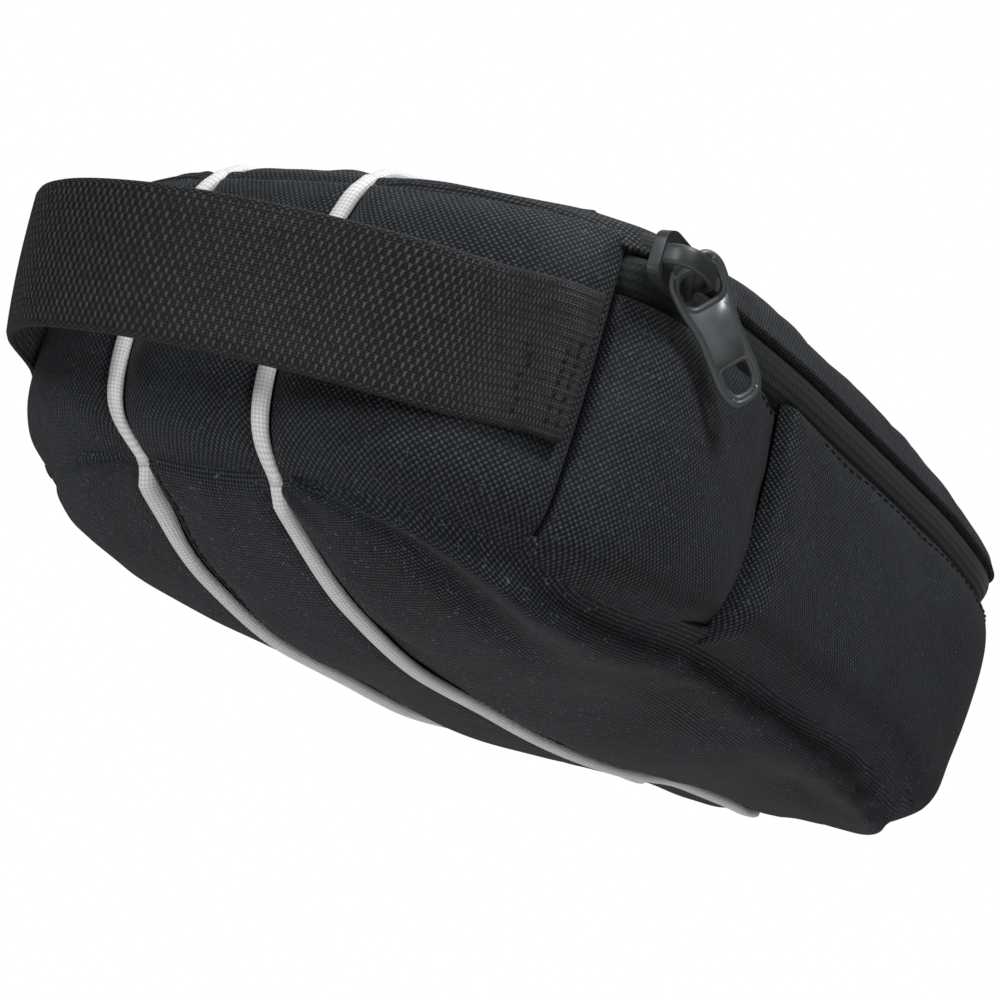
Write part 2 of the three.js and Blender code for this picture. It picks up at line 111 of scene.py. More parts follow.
class BagColours(bpy.types.PropertyGroup):
    """Colours of the finishes"""
    # The shell's two thread colours are painted shade in the weave's gaps and a painted highlight on the
    # thread crowns; the light one also tints the dust.
    shell_gap_shade: colour("Shell Gap Shade", "050608")
    shell_crown_highlight_and_dust: colour("Shell Crown Highlight And Dust", "3c4148")
    piping: colour("Piping", "f0f0ee")
    webbing_dark: colour("Webbing Gap", "060707")
    webbing_light: colour("Webbing Rib", "3f4244")
    tape: colour("Zip Tape", "1a2120")
    paint: colour("Slider Paint", "383b3d")
    thread: colour("Thread", "101113")
    foam: colour("Foam", "7d8084")
    lining: colour("Lining", "33373d")
    board: colour("Stiffener", "141517")
    floor: colour("Floor", "f2f2f2")


def sizes():
    return bpy.context.scene.bag_sizes


def linear(text, alpha=1.0):
    """An sRGB hex value as linear colour."""
    values = [int(text[i:i + 2], 16) / 255 for i in (0, 2, 4)]
    return [v / 12.92 if v <= 0.04045 else ((v + 0.055) / 1.055) ** 2.4 for v in values] + [alpha]


def tint(name):
    return linear(getattr(bpy.context.scene.bag_colours, name))


# ---------------------------------------------------------------- the bag's surfaces, in millimetres

def mix(a, b, t):
    return a + (b - a) * t


def clamp(value, low=0.0, high=1.0):
    return max(low, min(high, value))


def smooth(value, low, high):
    t = clamp((value - low) / (high - low))
    return t * t * (3 - 2 * t)


def along(profile, s):
    """Height of a seam at a distance from the nose, easing from one knot to the next."""
    for (start, low), (end, high) in zip(profile, profile[1:]):
        if s <= end:
            return mix(low, high, smooth(s, start, end))
    return profile[-1][1]


def depth(profile, s):
    """Depth of a dome at a distance from the nose, as one smooth curve through the knots."""
    last = len(profile) - 1
    i = next((k for k in range(last) if s <= profile[k + 1][0]), last - 1)
    (s0, a), (s1, b) = profile[i], profile[i + 1]
    before, after = profile[max(i - 1, 0)], profile[min(i + 2, last)]
    rise_in = (b - before[1]) / (s1 - before[0]) * (s1 - s0)
    rise_out = (after[1] - a) / (after[0] - s0) * (s1 - s0)
    t = clamp((s - s0) / (s1 - s0))
    return (a * (2 * t ** 3 - 3 * t ** 2 + 1) + rise_in * (t ** 3 - 2 * t ** 2 + t)
            + b * (3 * t ** 2 - 2 * t ** 3) + rise_out * (t ** 3 - t ** 2))


def half_width(s, inset=0.0):
    front = max(1 - (s - inset) / (NOSE_RUN - inset), 0)
    rear = max(1 - (LENGTH - inset - s) / (TAIL_RUN - inset), 0)
    side = HALF_FRONT - inset - TAPER * max(s - NOSE_RUN, 0)
    nose = max(1 - front ** NOSE_BLUNT, 0) ** (1 / NOSE_ROUND)
    tail = max(1 - rear ** TAIL_BLUNT, 0) ** (1 / TAIL_BLUNT)
    return side * nose * tail


def dome(s, y, flatness, roundness):
    width = max(half_width(s), 0.01)
    across = min(abs(y) / width, 1)
    return (width / HALF_FRONT) ** 0.6 * (1 - across ** flatness) ** (1 / roundness)


def belly(s, y):
    return along(LOW_SEAM, s) - depth(BELLY, s) * dome(s, y, 2.0, 1.3)


def crown(s, y):
    return along(HIGH_SEAM, s) + depth(CROWN, s) * dome(s, y, 2.1, 1.43)


def outline_table(count=1600):
    """Points round the plan outline from the nose's middle by the left side, each with its distance."""
    table, length, last = [], 0.0, None
    for i in range(count + 1):
        turn = 2 * math.pi * i / count
        s = LENGTH * (1 - math.cos(turn)) / 2
        y = -math.copysign(half_width(s), math.sin(turn)) if 0 < i < count else 0.0
        point = Vector((NOSE_X + s, y))
        length += (point - last).length if last else 0.0
        table.append((length, point))
        last = point
    return table


OUTLINE = outline_table()
ROUND = OUTLINE[-1][0]


def outline(distance):
    """Plan point and outward normal at a distance round the outline."""
    distance %= ROUND
    low, high = 0, len(OUTLINE) - 1
    while high - low > 1:
        middle = (low + high) // 2
        low, high = (middle, high) if OUTLINE[middle][0] <= distance else (low, middle)
    (d0, p0), (d1, p1) = OUTLINE[low], OUTLINE[high]
    before, after = OUTLINE[max(low - 3, 0)][1], OUTLINE[min(high + 3, len(OUTLINE) - 1)][1]
    if low < 3 or high > len(OUTLINE) - 4:
        return p0.lerp(p1, (distance - d0) / (d1 - d0)), Vector((-1, 0))
    run = (after - before).normalized()
    return p0.lerp(p1, (distance - d0) / (d1 - d0)), Vector((run.y, -run.x))


def distance_where(test):
    return next(d for d, point in OUTLINE if test(point))


SEAM_D = distance_where(lambda p: p.x >= NOSE_X + SEAM_S)
PLEAT_D = distance_where(lambda p: p.x >= NOSE_X + PLEAT_S)
BAND_D = distance_where(lambda p: p.y <= -BAND_HALF)


def wall(distance, z, out=0.0):
    point, normal = outline(distance)
    s = point.x - NOSE_X
    low, high = along(LOW_SEAM, s), along(HIGH_SEAM, s)
    rise = clamp((z - low) / (high - low))
    reach = BULGE * math.sin(math.pi * rise ** 0.8) + out
    return Vector((point.x + normal.x * reach, point.y + normal.y * reach, z))


def station(width, from_tail=False):
    """Distance from the nose at which the outline reaches a half width."""
    near, far = 0.0, LENGTH / 2
    for _ in range(40):
        middle = (near + far) / 2
        narrow = half_width(LENGTH - middle if from_tail else middle) < width
        near, far = (middle, far) if narrow else (near, middle)
    return LENGTH - far if from_tail else far


def spline(points, t):
    """A point on a Catmull-Rom curve through points."""
    spans = len(points) - 1
    i = min(int(t * spans), spans - 1)
    f = t * spans - i
    p = [points[clamp(i + k, 0, spans)] for k in (-1, 0, 1, 2)]
    return 0.5 * (2 * p[1] + (p[2] - p[0]) * f + (2 * p[0] - 5 * p[1] + 4 * p[2] - p[3]) * f * f
                  + (3 * p[1] - p[0] - 3 * p[2] + p[3]) * f ** 3)


def slump(point):
    """How the soft bag leans out of its true shape.

    The nose is skewed, the right cheek slimmer, the tail tucked, the right rear belly lifted, and every
    panel curls under into the lower seam, which lies deep between them.
    """
    s = point.x - NOSE_X
    low, high = along(LOW_SEAM, clamp(s, 0, LENGTH)), along(HIGH_SEAM, clamp(s, 0, LENGTH))
    rise = clamp((point.z - low) / (high - low))
    moved = point.copy()
    at_nose = (1 - smooth(s, 3, 26)) * (1 - smooth(abs(point.y), 30, 52))
    skew = SKEW * math.sin(math.pi * rise ** 0.75) * at_nose
    moved.y += skew
    if point.y > 0:
        moved.y -= 0.07 * point.y * (1 - smooth(s, 10, 80)) * (1 - 0.6 * rise)
    moved.x -= (0.6 + 4.2 * (1 - rise)) * smooth(s, 120, 178)
    if point.z < low + 4:
        moved.z += LIFT * smooth(point.y, -8, 26) * smooth(s, 82, 125) * smooth(low - point.z, -4, 10)
    spine = Vector((clamp(point.x, NOSE_X + NOSE_END, NOSE_X + LENGTH - TAIL_END), 0.0))
    outwards = point.xy - spine
    at_end = s <= NOSE_END or s >= LENGTH - TAIL_END
    rim = 1.0 if at_end else outwards.length / max(half_width(clamp(s, 1, LENGTH - 1)), 8)
    near = math.exp(-((point.z - low) / 4.2) ** 2) * smooth(rim, 0.72, 0.97)
    near *= 0.75 + 0.25 * smooth(s, 0, 30)
    if at_end:
        near *= smooth(outwards.length, 24, 36)
    moved.xy -= outwards.normalized() * CURL * near
    return moved


# ---------------------------------------------------------------- materials

def node(tree, kind, inputs=None, **settings):
    """Adds a node, sets it, and fills or links its inputs."""
    new = tree.nodes.new(kind)
    for key, value in settings.items():
        setattr(new, key, value)
    for socket, value in (inputs or {}).items():
        if isinstance(value, bpy.types.NodeSocket):
            tree.links.new(value, new.inputs[socket])
        else:
            new.inputs[socket].default_value = value
    return new


def finish(name, roughness, ior=1.45, metallic=0.0, sheen=0.0, specular=0.5):
    """A new material with its shader, ready for a pattern."""
    material = bpy.data.materials.new(name)
    material.use_nodes = True
    tree = material.node_tree
    tree.nodes.clear()
    shader = node(tree, "ShaderNodeBsdfPrincipled", {
        "Roughness": roughness, "IOR": ior, "Metallic": metallic,
        "Sheen Weight": sheen, "Specular IOR Level": specular})
    output = node(tree, "ShaderNodeOutputMaterial")
    tree.links.new(shader.outputs["BSDF"], output.inputs["Surface"])
    return material, tree, shader


def surface_of(tree, shader, base, height, strength, distance):
    """Links a colour and a relief to a shader."""
    tree.links.new(base, shader.inputs["Base Color"])
    bump = node(tree, "ShaderNodeBump", {"Strength": strength, "Distance": distance, "Height": height})
    tree.links.new(bump.outputs[0], shader.inputs["Normal"])


def sums(tree, operation, *values):
    """One step of arithmetic on values or sockets."""
    return node(tree, "ShaderNodeMath", dict(enumerate(values)), operation=operation).outputs[0]


def threads(tree, pitch_u, pitch_v, turn=0.0):
    """Two thread waves and their product on the weave map, which is in millimetres."""
    mapped = node(tree, "ShaderNodeUVMap", uv_map="weave").outputs[0]
    if turn:
        mapped = node(tree, "ShaderNodeVectorRotate", {"Vector": mapped, "Angle": turn},
                      rotation_type="Z_AXIS").outputs[0]
    parts = node(tree, "ShaderNodeSeparateXYZ", {0: mapped})
    waves = []
    for axis, pitch in (("X", pitch_u), ("Y", pitch_v)):
        phase = sums(tree, "MULTIPLY", parts.outputs[axis], math.pi / pitch)
        waves.append(sums(tree, "SINE", phase))
    product = sums(tree, "MULTIPLY", waves[0], waves[1])
    return waves, product


def grain(tree, scale, detail=2.0):
    place = node(tree, "ShaderNodeTexCoord").outputs["Object"]
    noise_node = node(tree, "ShaderNodeTexNoise", {"Vector": place, "Scale": scale, "Detail": detail})
    return noise_node.outputs["Fac"]


def ranged(tree, value, low, high, to_low=0.0, to_high=1.0):
    return node(tree, "ShaderNodeMapRange", {
        "Value": value, "From Min": low, "From Max": high, "To Min": to_low, "To Max": to_high}).outputs[0]


def blended(tree, factor, first, second):
    return node(tree, "ShaderNodeMix", {0: factor, 6: first, 7: second}, data_type="RGBA").outputs[2]


def coated_polyester(name, turn=0.0, speckle=0.0):
    """600-denier polyester, plain woven and coated: matt charcoal with a lattice of raised thread crowns,
    drawn lighter as a painted highlight, with painted shade in the gaps between them.
    """
    material, tree, shader = finish(name, 0.6, ior=1.47, sheen=0.04, specular=0.22)
    pitch = 0.5
    _, crowns = threads(tree, pitch, pitch, turn)
    lattice = ranged(tree, crowns, -0.15, 0.8)
    broad = grain(tree, 38.0)
    fine = grain(tree, 900.0, 3.0)
    amount = sums(tree, "MULTIPLY", lattice, ranged(tree, fine, 0.3, 0.75, 0.45, 1.6))
    # Painted weave light: the crowns are drawn lighter as a painted highlight and the gaps between threads
    # darker as painted shade.
    cloth = blended(tree, amount, tint("shell_gap_shade"), tint("shell_crown_highlight_and_dust"))
    # Broad patches of dust, in the colour of the crown highlight.
    weave_shade_and_dust = blended(tree, ranged(tree, broad, 0.35, 0.8, 0.0, 0.22), cloth, tint("shell_crown_highlight_and_dust"))
    if speckle:
        # Lint and glints on the crowns, finer than a thread in life and drawn a thread wide.
        glint = ranged(tree, grain(tree, 1900.0, 0.0), 0.74, 0.80, 0.0, speckle)
        weave_shade_and_dust = blended(tree, glint, weave_shade_and_dust, linear("8d96a0"))
    surface_of(tree, shader, weave_shade_and_dust, lattice, 0.8, 0.00022)
    tree.links.new(ranged(tree, lattice, 0, 1, 0.72, 0.5), shader.inputs["Roughness"])
    return material


def woven_piping():
    """Bleached polyester tape woven tight round a cord: bright, matt, with a fine diagonal rib."""
    material, tree, shader = finish("piping_bleached_woven_tape", 0.55, ior=1.5, sheen=0.15)
    _, crowns = threads(tree, 0.42, 0.42, math.radians(45))
    lattice = ranged(tree, crowns, -1, 1)
    dust = ranged(tree, grain(tree, 160.0), 0.35, 0.75, 0.0, 0.25)
    base = blended(tree, lattice, linear("b9b9b8"), tint("piping"))
    surface_of(tree, shader, blended(tree, dust, base, linear("b4b3ae")), lattice, 0.4, 0.00012)
    return material


def polypropylene_webbing():
    """Polypropylene webbing, heavy plain weave: long raised ribs across the strap with black gaps between."""
    material, tree, shader = finish("webbing_woven_polypropylene", 0.5, ior=1.49, sheen=0.03, specular=0.25)
    _, product = threads(tree, 0.5, 0.85)
    crowns = ranged(tree, product, -0.15, 0.75)
    fibres, _ = threads(tree, 0.5, 0.16)
    height = sums(tree, "ADD", crowns, ranged(tree, fibres[1], -1, 1, 0, 0.12))
    shade = ranged(tree, grain(tree, 700.0, 3.0), 0.3, 0.75, 0.35, 1.5)
    amount = sums(tree, "MULTIPLY", crowns, shade)
    base = blended(tree, amount, tint("webbing_dark"), tint("webbing_light"))
    surface_of(tree, shader, base, height, 0.9, 0.00035)
    return material


def zip_tape():
    """Knitted polyester zip tape: dull green-grey with a fine rib along it."""
    material, tree, shader = finish("zip_tape_knitted_polyester", 0.7, ior=1.47, sheen=0.1, specular=0.3)
    waves, product = threads(tree, 0.5, 0.38)
    rib = ranged(tree, sums(tree, "ADD", waves[1], product), -1.6, 1.6)
    base = blended(tree, rib, linear("0c100f"), tint("tape"))
    surface_of(tree, shader, base, rib, 0.6, 0.00016)
    return material


def painted_zinc():
    """Die-cast zinc with a satin gunmetal paint: smooth, softly mottled, with a painted highlight lighter on
    its edges.
    """
    material, tree, shader = finish("slider_painted_die_cast_zinc", 0.42, ior=1.5, metallic=0.35)
    mottle = grain(tree, 420.0, 4.0)
    edge = node(tree, "ShaderNodeNewGeometry").outputs["Pointiness"]
    # Painted highlight: the paint is drawn lighter where the cast edges are sharp.
    edge_highlight = ranged(tree, edge, 0.52, 0.62, 0.0, 0.45)
    base = blended(tree, ranged(tree, mottle, 0.3, 0.8, 0.0, 0.35), tint("paint"), linear("2b2d2f"))
    surface_of(tree, shader, blended(tree, edge_highlight, base, linear("7b7f82")), mottle, 0.15, 0.00005)
    tree.links.new(ranged(tree, mottle, 0.3, 0.8, 0.36, 0.5), shader.inputs["Roughness"])
    return material


def plain_finish(name, colour_name, roughness, scale, relief, sheen=0.0):
    """A finish with one colour, broken by grain of a given scale, for the pieces inside."""
    material, tree, shader = finish(name, roughness, sheen=sheen, specular=0.3)
    texture = grain(tree, scale, 4.0)
    dark = [c * 0.7 for c in tint(colour_name)[:3]] + [1]
    surface_of(tree, shader, blended(tree, texture, dark, tint(colour_name)), texture, 0.5, relief)
    return material


MATERIALS = {}


def make_materials():
    MATERIALS.update(
        shell=coated_polyester("shell_coated_woven_polyester", 0.0, 0.15),
        face=coated_polyester("face_coated_woven_polyester", math.radians(45), 0.3),
        piping=woven_piping(),
        webbing=polypropylene_webbing(),
        tape=zip_tape(),
        metal=painted_zinc(),
        # Bonded polyester thread: dark and slightly glossy, with a fine twist.
        thread=plain_finish("thread_bonded_polyester", "thread", 0.45, 2500.0, 0.00003),
        # Closed-cell polyethylene foam sheet: matt grey with small cells.
        foam=plain_finish("foam_closed_cell_polyethylene", "foam", 0.9, 1400.0, 0.0002),
        # Plain woven nylon lining: thin, with a soft sheen.
        lining=plain_finish("lining_plain_woven_nylon", "lining", 0.5, 1800.0, 0.00005, 0.3),
        # Extruded polyethylene sheet: smooth and dull.
        board=plain_finish("board_extruded_polyethylene", "board", 0.45, 300.0, 0.00002),
        # Hook tape: nylon hooks seen as a coarse bristle.
        hooks=plain_finish("hook_tape_moulded_nylon", "thread", 0.6, 2200.0, 0.0006),
        floor=plain_finish("floor_matt_paint", "floor", 0.8, 3.0, 0.00001),
    )


# ---------------------------------------------------------------- mesh helpers

def new_object(name, bm, material, smooth_faces=True, soft=True):
    mesh = bpy.data.meshes.new(name)
    if soft:
        for vert in bm.verts:
            vert.co = slump(vert.co / MM) * MM
    for face in bm.faces:
        face.smooth = smooth_faces
    bm.to_mesh(mesh)
    bm.free()
    piece = bpy.data.objects.new(name, mesh)
    bpy.context.scene.collection.objects.link(piece)
    mesh.materials.append(MATERIALS[material])
    return piece


def settle(piece, body, slot, *nodes):
    """Rides a piece on its body and hides the solids it stands for; its slot is not used."""
    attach(piece, body)
    if nodes:
        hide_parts(*nodes)
    return piece


def grid(columns, rows, width, height):
    """A unit grid with a weave map in millimetres. Returns the bmesh and each vertex's column and row."""
    bm = bmesh.new()
    bmesh.ops.create_grid(bm, x_segments=columns, y_segments=rows, size=0.5)
    weave = bm.loops.layers.uv.new("weave")
    for face in bm.faces:
        for loop in face.loops:
            loop[weave].uv = ((loop.vert.co.x + 0.5) * width, (loop.vert.co.y + 0.5) * height)
    cells = {v: (round((v.co.x + 0.5) * columns), round((v.co.y + 0.5) * rows)) for v in bm.verts}
    return bm, cells


def axes(first, second, third):
    """The turn that lays X, Y and Z on three directions."""
    return Matrix((first, second, third)).transposed().to_4x4()


def face_out(bm, away_from):
    """Turns the faces of an open sheet away from a point inside the bag."""
    total = sum((f.calc_center_median() - away_from).dot(f.normal) * f.calc_area() for f in bm.faces)
    if total < 0:
        bmesh.ops.reverse_faces(bm, faces=bm.faces)


HEART = Vector((0.0, 0.0, 0.04))
# How far the two outermost rings of a panel turn in at its seams.
TURN_IN = (3.2, 1.2)


def stations(length, count, edge=(0.0, 0.5, 1.3, 2.3, 3.6, 5.2)):
    """Places from 0 to 1 across a panel, closer together beside its seams."""
    middle = [mix(edge[-1], length - edge[-1], i / count) for i in range(1, count)]
    places = list(edge) + middle + [length - e for e in reversed(edge)]
    return [0.0] + [p / length for p in places] + [1.0]


def pillow(along_u, along_v, size, puff, seed):
    """How far padded cloth stands out from its seam line, in millimetres, with its puckers."""
    gap = min(along_u, size[0] - along_u, along_v, size[1] - along_v)
    full = 1 - math.exp(-(max(gap, 0) / 3.0) ** 1.25)
    pucker = noise.noise(Vector((along_u * 0.16, along_v * 0.16, seed))) * 1.5 * math.exp(-gap / 6.5)
    sag = noise.noise(Vector((along_u * 0.035, along_v * 0.035, seed + 9.0))) * 1.5
    return full * (puff + pucker + sag)


def lay_weave(bm, cells, weave, columns, rows):
    """Sets the weave map to the real distances along the panel's middle row and up each of its columns."""
    at = {cell: vert.co for vert, cell in cells.items()}
    along_row = [0.0]
    for i in range(columns):
        along_row.append(along_row[-1] + (at[i + 1, rows // 2] - at[i, rows // 2]).length / MM)
    up_column = {}
    for i in range(columns + 1):
        up_column[i, 0] = 0.0
        for j in range(rows):
            up_column[i, j + 1] = up_column[i, j] + (at[i, j + 1] - at[i, j]).length / MM
    for vert, (i, j) in cells.items():
        for loop in vert.link_loops:
            loop[weave].uv = (along_row[i], up_column[i, j] - up_column[i, rows // 2])


def sewn_panel(name, columns, rows, size, place, material="shell", puff=1.6, seed=0.0, groove=0.0,
               crease=None):
    """A cloth panel: place(u, v, out) in millimetres. Its two outer rings turn in at the seams."""
    across, upwards = stations(size[0], columns), stations(size[1], rows)
    columns, rows = len(across) - 1, len(upwards) - 1
    bm, cells = grid(columns, rows, *size)
    weave = bm.loops.layers.uv["weave"]
    for vert, (i, j) in cells.items():
        ring = min(i, j, columns - i, rows - j)
        u, v = across[i], upwards[j]
        out = pillow(u * size[0], v * size[1], size, puff, seed)
        edge = min(v, 1 - v) * size[1]
        out -= groove * math.exp(-((edge - 2.5) / 0.7) ** 2)
        if crease:
            out += crease(u, v)
        vert.co = place(u, v, -TURN_IN[ring] if ring < 2 else out) * MM
    lay_weave(bm, cells, weave, columns, rows)
    bm.normal_update()
    face_out(bm, HEART)
    return new_object(name, bm, material)


def thicken(piece, thickness, subdivisions=1, offset=-1.0):
    fine = piece.modifiers.new("fine", "SUBSURF")
    fine.levels = fine.render_levels = subdivisions
    if thickness:
        wall_thickness = piece.modifiers.new("thickness", "SOLIDIFY")
        wall_thickness.thickness = thickness
        wall_thickness.offset = offset
    return piece


def sweep(name, path, section, steps, material, soft=True):
    """Sweeps a closed section, a list of (a, b), along a path that gives (point, side, up) at t."""
    sides = len(section)
    length = sum((path(i / steps)[0] - path((i + 1) / steps)[0]).length for i in range(steps))
    girth = sum(math.dist(section[k], section[k - 1]) for k in range(sides))
    bm, cells = grid(steps, sides, length, girth)
    frames = [path(i / steps) for i in range(steps + 1)]
    for vert, (i, k) in cells.items():
        point, side, up = frames[i]
        a, b = section[k % sides]
        vert.co = (point + side * a + up * b) * MM
    bmesh.ops.remove_doubles(bm, verts=bm.verts, dist=1e-6)
    rim = [e for e in bm.edges if e.is_boundary]
    bmesh.ops.holes_fill(bm, edges=rim, sides=0)
    bmesh.ops.recalc_face_normals(bm, faces=bm.faces)
    return new_object(name, bm, material, True, soft)


def circle(radius, sides=10):
    return [(radius * math.cos(2 * math.pi * k / sides), radius * math.sin(2 * math.pi * k / sides))
            for k in range(sides)]


def strap_section(width, thickness, edge=4):
    """Flat strap with round edges, as (across, up) pairs."""
    radius = thickness / 2
    points = []
    for sign in (1, -1):
        for k in range(edge + 1):
            turn = math.pi * (k / edge - 0.5)
            across = width / 2 - radius + radius * math.cos(turn)
            points.append((sign * across, sign * radius * math.sin(turn)))
        inner = [mix(1, -1, (k + 1) / 9) * sign * (width / 2 - radius) for k in range(8)]
        points += [(a, sign * radius) for a in inner]
    return points


def along_points(points, side_of=None):
    """A path for sweep from a list of points, with up taken from side_of or straight up."""
    def path(t):
        point = spline(points, t)
        run = (spline(points, min(t + 0.004, 1)) - spline(points, max(t - 0.004, 0))).normalized()
        up = side_of(t) if side_of else Vector((0, 0, 1))
        side = run.cross(up).normalized()
        return point, side, side.cross(run).normalized()
    return path


def stitches(name, rows, surface, body, pitch=None):
    """Rows of thread stitches laid on a surface, in one piece. rows are lists of points in millimetres."""
    step = pitch or sizes().stitch / MM
    graph = bpy.context.evaluated_depsgraph_get()
    trees = [BVHTree.FromObject(piece, graph) for piece in surface]
    bm = bmesh.new()
    for row in rows:
        length = sum((b - a).length for a, b in zip(row, row[1:]))
        count = max(int(length / step), 1)
        for i in range(count):
            ends = [slump(spline(row, (i + f) / count)) * MM for f in (0.16, 0.84)]
            spots = []
            for target in ends:
                hits = [tree.find_nearest(target) for tree in trees]
                hit = min((h for h in hits if h[0] is not None), key=lambda h: h[3])
                spots.append((hit[0], hit[1]))
            run = spots[1][0] - spots[0][0]
            if run.length < 0.0004 or run.length > 0.012:
                continue
            normal = (spots[0][1] + spots[1][1]).normalized()
            side = run.normalized().cross(normal).normalized()
            turn = axes(run.normalized(), side, side.cross(run.normalized()))
            middle = (spots[0][0] + spots[1][0]) / 2 + normal * 0.00008
            new = bmesh.ops.create_icosphere(bm, subdivisions=1, radius=1.0)
            scale = Matrix.Diagonal((run.length * 0.56, 0.00026, 0.00024, 1))
            bmesh.ops.transform(bm, matrix=Matrix.Translation(middle) @ turn @ scale, verts=new["verts"])
    bmesh.ops.recalc_face_normals(bm, faces=bm.faces)
    piece = new_object(name, bm, "thread", True, False)
    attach(piece, body)
    return piece


SHELL = {}


# ---------------------------------------------------------------- operators

class BAG_OT_stage(bpy.types.Operator):
    """Builds the floor, the lights and the camera"""
    bl_idname = "bag.stage"
    bl_label = "Stage"

    def execute(self, context):
        scene = context.scene
        scene.view_settings.view_transform = "Standard"
        bm = bmesh.new()
        bmesh.ops.create_circle(bm, cap_ends=True, segments=96, radius=1.0)
        bmesh.ops.translate(bm, verts=bm.verts, vec=(0, 0, -0.26))
        new_object("floor", bm, "floor", False, False)

        world = bpy.data.worlds.new("studio")
        scene.world = world
        world.use_nodes = True
        tree = world.node_tree
        sky = tree.nodes["Background"]
        sky.inputs["Color"].default_value = (1, 1, 1, 1)
        # The backdrop is white, and its light on the bag is dim.
        seen = node(tree, "ShaderNodeLightPath").outputs["Is Camera Ray"]
        tree.links.new(ranged(tree, seen, 0, 1, 0.06, 1.0), sky.inputs["Strength"])

        lights = (
            ("key", (-0.42, -0.66, 0.92), 12.0, 0.32),
            ("top", (0.1, 0.05, 0.95), 3.0, 0.5),
            ("fill", (-0.95, 0.0, 0.3), 4.2, 0.35),
        )
        for name, place, power, size in lights:
            lamp = bpy.data.lights.new(name, "AREA")
            lamp.energy, lamp.size = power, size
            light = bpy.data.objects.new(name, lamp)
            light.location = place
            light.rotation_euler = (Vector((0, 0, 0.04)) - light.location).to_track_quat("-Z", "Y").to_euler()
            scene.collection.objects.link(light)

        camera = bpy.data.objects.new("camera", bpy.data.cameras.new("camera"))
        camera.data.lens = 76.5
        camera.data.clip_start = 0.02
        look = Vector((0.7783, 0.5920, 0.2093)).normalized()
        up = Vector((-0.3382, 0.1144, 0.9341))
        side = look.cross(up).normalized()
        up = side.cross(look)
        camera.matrix_world = Matrix.Translation((-0.3063, -0.2213, -0.0408)) @ axes(side, up, -look)
        scene.collection.objects.link(camera)
        scene.camera = camera
        return {"FINISHED"}


def face_panel(name, s_from, s_to, line_in, line_out, top, width, columns, rows, **cloth):
    """A strip of the lower or upper face between two lines along the bag."""
    surface = crown if top else belly
    upwards = 1 if top else -1

    def place(u, v, out):
        s = mix(s_from, s_to, u)
        y = mix(line_in(s), line_out(s), v)
        # Near its outer seam the face turns up the wall, so cloth stands out sideways as well.
        across = clamp(abs(y) / max(half_width(s), 1)) ** 4
        return Vector((NOSE_X + s, y + math.copysign(0.6 * out * across, y), surface(s, y) + upwards * out))
    return sewn_panel(name, columns, rows, (s_to - s_from, width), place, "shell" if top else "face", **cloth)


def wall_panel(name, start, end, low, high, columns, rows, lift=None, **cloth):
    """A stretch of the side wall; start and end are distances round the outline."""
    def place(u, v, out):
        distance = mix(start, end, u)
        s = outline(distance)[0].x - NOSE_X
        extra = lift(abs(distance)) if lift else 0.0
        return wall(distance, mix(low(s), high(s), v), extra + out)
    return sewn_panel(name, columns, rows, (abs(end - start), 50.0), place, **cloth)


def lower_folds(s_from, s_to):
    """Soft folds of the left cheek that run beside the lower seam."""
    def crease(u, v):
        s, edge = mix(s_from, s_to, u), (1 - v) * 42.0
        front = math.exp(-((s - 24) / 20) ** 2)
        middle = math.exp(-((s - 78) / 26) ** 2)
        rear = math.exp(-((s - 140) / 24) ** 2)
        ridge = 1.5 * front * math.exp(-((edge - 7) / 3.5) ** 2)
        dip = -2.4 * front * math.exp(-((edge - 14 - 0.1 * (s - 20)) / 4.5) ** 2)
        dip -= 1.2 * middle * math.exp(-((edge - 9) / 4.0) ** 2)
        fold = 1.6 * rear * math.exp(-((edge - 8) / 3.2) ** 2)
        fold -= 1.4 * rear * math.exp(-((edge - 15) / 3.6) ** 2)
        return ridge + dip + fold
    return crease


def low_line(s):
    return along(LOW_SEAM, s) + 0.4


def high_line(s):
    return along(HIGH_SEAM, s) - 0.4


def fold_line(s):
    return along(HIGH_SEAM, s) - FOLD_DROP


